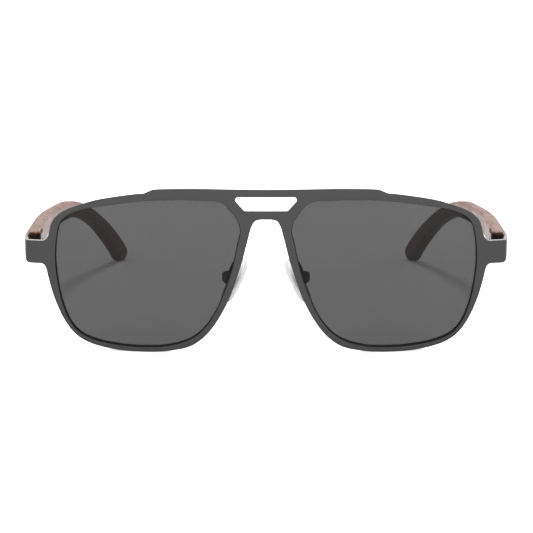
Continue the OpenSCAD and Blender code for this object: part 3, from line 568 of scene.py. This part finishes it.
def lensBlank():  # rings from the middle of the front face out to the edge and back in over the rear face
    curve = spaced(lensCurve, lens["step"])
    curve = curve - lens["bite"] * rightOf(curve)
    middle = curve.mean(0)
    k = np.linspace(lens["hub"], 1, lens["rings"])
    share = np.concatenate([k, k[::-1]])[:, None, None]
    depth = np.repeat([lens["near"], lens["near"] + lens["thick"]], lens["rings"])[:, None]
    flat = middle + share * (curve - middle)[None]
    points = np.stack([flat[..., 0], faceY(flat[..., 0], flat[..., 1], depth), flat[..., 1]], -1)
    rows, cols = flat.shape[:2]
    faces = gridFaces(rows, cols, closeCols=True)
    return points.reshape(-1, 3), faces + [list(range(cols))[::-1], list(range((rows - 1) * cols, rows * cols))]


for name, side in sides.items():
    newPiece("eyewire_" + name + "_strip", *mirrored(*eyewire(), side), "darkMetal", "dark_metal", "front",
             ["eyewire_" + name])
    newPiece("lens_" + name + "_blank", *mirrored(*lensBlank(), side), "lens", "lens_grey", "front", ["lens_" + name])
print("eyewires and lenses made")


# temples

temple = {
    "frontY": 20.035, "lead": 0.05, "straight": 83.5, "fall": 3.2, "midZ": 30.25, "earR": 67.0,  # the side line
    "frontH": 7.3, "earH": 5.7, "waistH": 4.55, "waistAt": 0.55, "tipH": 6.0, "thick": 3.8, "tipThin": 0.45,
    "let": 0.15, "letRun": 3,  # thinner beside the hinge case, over a third of the straight
    "legX": 74.683, "flare": math.radians(1.0), "bowL": 38.5, "bowR": 221.0,  # the bow, seen from above
    "edgeR": (0.5, 1.3, 0.6, 0.5), "tipEdgeR": 1.5, "edgeMost": 0.8,  # outer top, inner top, inner foot, outer foot
    "round": 6, "straightRows": 64, "earRows": 64, "tipRows": 12, "tipClose": 0.96,
    "firstRows": (0.0, 0.12, 0.3), "firstInset": (0.3, 0.1, 0.0), "squareEnd": 0.01}  # rows that round the front edge


def bowed(u, y):  # straight and flared first, then a round bow that meets it; u is measured in from the outer face
    flare, start = temple["flare"], temple["frontY"] + temple["bowL"]
    midX = temple["legX"] + temple["bowL"] * math.tan(flare) - temple["bowR"] * math.cos(flare)
    midY = start + temple["bowR"] * math.sin(flare)
    straight = temple["legX"] + u / math.cos(flare) + math.tan(flare) * (y - temple["frontY"])
    bow = midX + np.sqrt((temple["bowR"] + u)**2 - (y - midY)**2)
    return np.where(y < start - u * math.sin(flare), straight, bow)


def templeArm():  # a round-cornered oblong carried down the side line and through the bow, closed by a round tip
    fall = math.atan(temple["fall"] / temple["straight"])
    midEar = temple["midZ"] - temple["fall"]
    tipR = temple["tipH"] / 2
    earY = temple["frontY"] + temple["straight"]
    tipAngle = math.acos(math.cos(fall) - (midEar - tipR) / temple["earR"])
    k = np.linspace(0, 1, temple["straightRows"])
    k = np.concatenate([np.array(temple["firstRows"]) / temple["straight"], k[1:]])
    y = temple["frontY"] + temple["lead"] + k * (temple["straight"] - temple["lead"])
    z = temple["midZ"] - k * temple["fall"]
    j = np.linspace(0, 1, temple["earRows"])[1:]
    w = fall + j * (tipAngle - fall)
    tip = np.linspace(0, temple["tipClose"], temple["tipRows"])[1:] * math.pi / 2
    endY = earY + temple["earR"] * (math.sin(tipAngle) - math.sin(fall))
    y = np.concatenate([y, earY + temple["earR"] * (np.sin(w) - math.sin(fall)),
                        endY + tipR * np.sin(tip) * math.cos(tipAngle)])
    z = np.concatenate([z, midEar - temple["earR"] * (math.cos(fall) - np.cos(w)),
                        tipR - tipR * np.sin(tip) * math.sin(tipAngle)])
    square = np.where(k < temple["squareEnd"], 0, fall)  # the front end stands square
    lean = np.concatenate([square, w, np.full(len(tip), tipAngle)])[:, None]
    waist, at = temple["waistH"], temple["waistAt"]  # the wood narrows to its waist in the bend, then widens to the tip
    bend = np.where(j < at, temple["earH"] + (waist - temple["earH"]) * smooth(np.clip(j / at, 0, 1)),
                    waist + (temple["tipH"] - waist) * smooth(np.clip((j - at) / (1 - at), 0, 1)))
    tall = np.concatenate([temple["frontH"] + (temple["earH"] - temple["frontH"]) * smooth(k), bend,
                           temple["tipH"] * np.cos(tip)])
    let = np.concatenate([temple["let"] * (1 - smooth(np.clip(k * temple["letRun"], 0, 1))), 0 * j, 0 * tip])
    wide = temple["thick"] - let
    wide[-len(tip):] *= 1 - temple["tipThin"] * (1 - np.cos(tip))
    inset = np.concatenate([temple["firstInset"], np.zeros(len(y) - len(temple["firstInset"]))])
    halfH, halfW = (tall / 2 - inset)[:, None], (wide / 2 - inset)[:, None]
    q = np.linspace(0, math.pi / 2, temple["round"])
    phi = np.concatenate([q + n * math.pi / 2 for n in range(4)])[None]
    east = np.repeat([1, -1, -1, 1], temple["round"])[None]
    north = np.repeat([1, 1, -1, -1], temple["round"])[None]
    near = np.concatenate([0 * k, smooth(np.clip(j * 3 - 2, 0, 1)), 1 + 0 * tip])[:, None]
    edge = np.repeat(temple["edgeR"], temple["round"])[None]  # edges turn to the tip's in the last third of the bend
    r = np.minimum(edge + near * (temple["tipEdgeR"] - edge), temple["edgeMost"] * np.minimum(halfH, halfW))
    across = east * (halfW - r) + r * np.cos(phi)
    up = north * (halfH - r) + r * np.sin(phi)
    py = y[:, None] + up * np.sin(lean)
    pz = z[:, None] + up * np.cos(lean)
    px = bowed(across - temple["thick"] / 2 + let[:, None] / 2, py)
    points = np.stack([px, py, pz], -1)
    rows, cols = px.shape
    faces = [f[::-1] for f in gridFaces(rows, cols, closeCols=True)]
    return points.reshape(-1, 3), faces + [list(range(cols)), list(range((rows - 1) * cols, rows * cols))[::-1]]


for name, side in sides.items():
    newPiece("temple_" + name + "_wood", *mirrored(*templeArm(), side), "wood", "wood", "arm_" + name,
             ["temple_" + name])
print("temples made")


# nose pads

pad = {"x": 11.65, "y": 7.4, "z": 22.6, "tilt": math.radians(27), "splay": math.radians(30), "stem": 2.5,
       "long": 14.4, "nose": 3.5, "cheek": 2.3, "front": 1.1, "back": 0.8, "drop": 0.10, "power": 3.2,
       "around": 72, "rows": 33, "close": 0.985}
arm = {"lensPoint": 22, "r": 0.45, "back": 1.6, "bend": 1.0, "foot": (-0.4, -0.925, 1.65), "rise": 1.4, "gap": 0.02,
       "boxTurn": math.radians(30), "bendSteps": 10, "endSteps": 4, "midSteps": 6}  # it starts at a point of lensShape


def padToFront(v):  # from the pad's own frame, where -x points at the nose and z runs along the pad
    x = v[..., 0] * math.cos(pad["splay"]) + v[..., 1] * math.sin(pad["splay"])
    y = v[..., 1] * math.cos(pad["splay"]) - v[..., 0] * math.sin(pad["splay"])
    z = v[..., 2]
    return np.stack([x * math.cos(pad["tilt"]) - z * math.sin(pad["tilt"]) + pad["x"], y + pad["y"],
                     x * math.sin(pad["tilt"]) + z * math.cos(pad["tilt"]) + pad["z"]], -1)


def nosePad():  # a drop-shaped cushion: full round rim, crowned towards the nose, flatter behind
    phi = np.linspace(0, 2 * math.pi, pad["around"], endpoint=False)[None]
    psi = np.linspace(-1, 1, pad["rows"])[:, None] * math.pi / 2 * pad["close"]
    full = lambda v: np.sign(v) * np.abs(v)**(2 / pad["power"])  # a superellipse's terms, from a sine or cosine
    reach, rise = full(np.cos(psi)), full(np.sin(psi))
    z = pad["long"] / 2 * full(np.sin(phi)) * reach
    width = np.where(np.cos(phi) < 0, pad["nose"], pad["cheek"]) * (1 - pad["drop"] * full(np.sin(phi)))
    y = full(np.cos(phi)) * width * reach
    x = -pad["stem"] + np.where(rise < 0, pad["front"], pad["back"]) * rise + 0 * phi
    points = padToFront(np.stack([x, y, z], -1))
    rows, cols = z.shape
    faces = [f[::-1] for f in gridFaces(rows, cols, closeCols=True)]
    return points.reshape(-1, 3), faces + [list(range(cols)), list(range((rows - 1) * cols, rows * cols))[::-1]]


def boxPoint(x, y, z):  # from the pad box's frame, which is turned about its screw against the pad's
    turn = arm["boxTurn"]
    return padToFront(np.array([x * math.cos(turn) + z * math.sin(turn), y, z * math.cos(turn) - x * math.sin(turn)]))


def padArm():  # a wire straight back from the eyewire, round a bend, and down on to the pad box
    x, z = armRoot
    a = np.array([x, faceY(x, z, wire["far"]) + arm["gap"], z])
    b = a + (0, arm["back"], 0)
    c, d = (boxPoint(*(np.array(arm["foot"]) + (0, 0, lift))) for lift in (arm["rise"], arm["gap"]))
    first, second = (cornerArc(*bend, arm["bend"], arm["bendSteps"]) for bend in ((a, b, c), (b, c, d)))
    mid = lambda p, q, n: p + np.linspace(0, 1, n + 1)[1:-1, None] * (q - p)
    path = np.concatenate([a[None], mid(a, first[0], arm["endSteps"]), first,
                           mid(first[-1], second[0], arm["midSteps"]), second,
                           mid(second[-1], d, arm["endSteps"]), d[None]])
    return tube(path, arm["r"])


armSpan = arm["lensPoint"] * lensShape["perSpan"]
armAt = lensCurve[armSpan + lensShape["perSpan"] // 4]
armSide = -rightOf(lensCurve)[armSpan]
armRoot = (armAt[0] + (wire["outside"] + wire["inside"]) / 2 * armSide[0], armAt[1])
for name, side in sides.items():
    cushion = newPiece("nose_pad_" + name + "_soft", *mirrored(*nosePad(), side), "pad", "clear_pad", "pad_" + name,
                       ["nose_pad_" + name])
    newPiece("pad_arm_" + name + "_wire", *mirrored(*padArm(), side), "darkMetal", "dark_metal", "front",
             ["pad_arm_" + name])
print("nose pads made")


# small hardware: the CAD's shapes with their edges broken

hardware = [("pad_box_", "darkMetal", "dark_metal", "front", 0.16, "cad"),  # finish, slot, body, edges, heights
            ("pad_screw_", "steel", "steel", "front", 0.06, "cad"),
            ("pad_core_", "core", "pad_core", "pad_", 0.10, "cad"),
            ("rim_screw_", "gunmetal", "gunmetal", "front", 0.06, "cad"),
            ("hinge_knuckles_", "hinge", "dark_metal", "front", 0.10, "pin"),
            ("hinge_screw_", "pin", "dark_metal", "front", 0.08, "pin"),
            ("hinge_tongue_", "steel", "steel", "hinge_", 0.08, "cad"),
            ("hinge_case_", "hinge", "dark_metal", "arm_", 0.08, "cad"),
            ("case_screws_", "steel", "steel", "arm_", 0.05, "cad")]
heightMaps = {"cad": ((0.0, 60.0), (0.0, 60.0)),  # heights in the CAD, and where the piece has them
              "pin": ((26.5, 28.7, 31.7, 33.9, 34.4), (27.2, 28.7, 31.7, 34.5, 34.9))}  # shorter foot, taller head
for prefix, finish, slot, body, width, kind in hardware:
    for name in sides:
        softened(prefix + name, finish, body + name if body.endswith("_") else body, width, heightMaps[kind])
print("hardware made")


# springs

coil = {"turns": 12, "closed": 1.0, "endRun": 0.26, "r": 0.6, "wireR": 0.11, "steps": 40, "around": 10,
        "travel": 1.2}  # travel is the joint's, in mm


def springCoil(low, high):  # a helix between two heights along Y; its end turns lie almost closed
    k = np.linspace(0, 1, coil["turns"] * coil["steps"] + 1)
    flat, end = coil["closed"] / coil["turns"], coil["endRun"] / (high[1] - low[1])
    run = np.interp(k, [0, flat, 1 - flat, 1], [0, end, 1 - end, 1])
    w = 2 * math.pi * coil["turns"] * k
    middle = (low + high) / 2
    y = low[1] + coil["wireR"] + run * (high[1] - low[1] - 2 * coil["wireR"])
    path = np.stack([middle[0] + coil["r"] * np.cos(w), y, middle[2] + coil["r"] * np.sin(w)], 1)
    return tube(path, coil["wireR"], coil["around"])


for name, side in sides.items():
    low, high = (np.array(v) / mm - (0, frontY, 0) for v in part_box("hinge_spring_" + name))
    spring = newPiece("hinge_spring_" + name + "_coil", *springCoil(low, high), "steel", "steel", "arm_" + name,
                      ["hinge_spring_" + name])
    1 - coil["travel"] / (high[1] - low[1])
    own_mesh(spring)
print("springs made")


# camera, light and floor

view = {"target": (0.15, 0.0, 27.44), "distance": 700.0, "pitch": math.radians(11), "focal": 2320.5, "frame": 533,
        "sensor": 36.0, "far": 50}  # the focal length and the frame in pixels
studio = {"key": {"at": (0.0, 0.3, 2.4), "wide": 0.6, "tall": 0.6, "power": 68.0},
          "fill": {"at": (0.0, -1.0, 0.24), "wide": 3.2, "tall": 0.4, "power": 21.5},
          "left": {"at": (1.4, 0.4, 0.8), "wide": 1.2, "tall": 0.8, "power": 17.0},
          "right": {"at": (-1.4, 0.4, 0.8), "wide": 1.2, "tall": 0.8, "power": 17.0},
          "ambient": 0.72, "floorSize": 8.0, "floorColor": 0.80, "floorBounce": 0.27, "floorSheen": 0.50,
          "floorGlow": 0.50, "floorCloud": (3, 3, 3), "floorSpread": 0.01,
          "floorDrop": 0.05}  # in mm, clear of the foot of the glasses

camera = bpy.data.objects.new("camera", bpy.data.cameras.new("camera"))
camera.data.sensor_width = view["sensor"]
camera.data.lens = view["focal"] * view["sensor"] / view["frame"]
camera.data.clip_end = view["far"]
aim = toFrame([view["target"]])[0]
camera.location = aim + view["distance"] * mm * np.array([0, -math.cos(view["pitch"]), math.sin(view["pitch"])])
camera.rotation_euler = (math.pi / 2 - view["pitch"], 0, 0)
bpy.context.scene.collection.objects.link(camera)
bpy.context.scene.camera = camera

for name in ("key", "fill", "left", "right"):  # a soft lamp overhead, a weak wide one in front and one on each side
    lamp = bpy.data.objects.new(name, bpy.data.lights.new(name, "AREA"))
    lamp.data.shape = "RECTANGLE"
    lamp.data.size, lamp.data.size_y = studio[name]["wide"], studio[name]["tall"]
    lamp.data.energy = studio[name]["power"]
    lamp.location = studio[name]["at"]
    lamp.rotation_euler = (-lamp.location).to_track_quat("-Z", "Y").to_euler()  # aimed at the glasses
    bpy.context.scene.collection.objects.link(lamp)


def seenBy(shade, *rays):  # 1 for the kinds of ray named, 0 for the others
    path = shade.make("LightPath")
    kinds = [Shade(shade.tree, path.socket.node.outputs["Is " + ray + " Ray"]) for ray in rays]
    return functools.reduce(lambda a, b: shade.calc("MAXIMUM", a, b), kinds)


def paleFloor():  # a sheet that keeps shadows; looked at directly it is paler than in reflections, with a glow
    half = studio["floorSize"] / 2
    mesh = bpy.data.meshes.new("floor")
    mesh.from_pydata([(-half, -half, 0), (half, -half, 0), (half, half, 0), (-half, half, 0)], [], [(0, 1, 2, 3)])
    material, shade, place = newFinish("pale_floor")
    cloud = grain(shade, place, studio["floorCloud"], 2.0)
    direct = seenBy(shade, "Camera", "Transmission")
    dull = seenBy(shade, "Glossy").tint(grey(studio["floorBounce"]), grey(studio["floorSheen"]))
    pale = cloud.tint(grey(studio["floorColor"]), grey(studio["floorColor"] + studio["floorSpread"]))
    sheet = shade.make("BsdfDiffuse", {}, {"Color": direct.tint(dull, pale)})
    glow = shade.make("Emission", {}, {"Color": grey(1.0), "Strength": direct * studio["floorGlow"]})
    shade.make("OutputMaterial", {}, {"Surface": shade.make("AddShader", {}, {0: sheet, 1: glow})})
    mesh.materials.append(material)
    floor = bpy.data.objects.new("floor", mesh)
    floor.location.z = -studio["floorDrop"] * mm
    bpy.context.scene.collection.objects.link(floor)


paleFloor()
world = bpy.data.worlds.new("studio")
world.use_nodes = True
world.node_tree.nodes.clear()
sky = Shade(world.node_tree)
direct = seenBy(sky, "Camera", "Transmission")
strength = studio["ambient"] + direct * (1.0 - studio["ambient"])
sky.make("OutputWorld", {}, {"Surface": sky.make("Background", {}, {"Color": grey(1.0), "Strength": strength})})
bpy.context.scene.world = world
bpy.context.scene.view_settings.view_transform = "Standard"
print("camera, light and floor made")
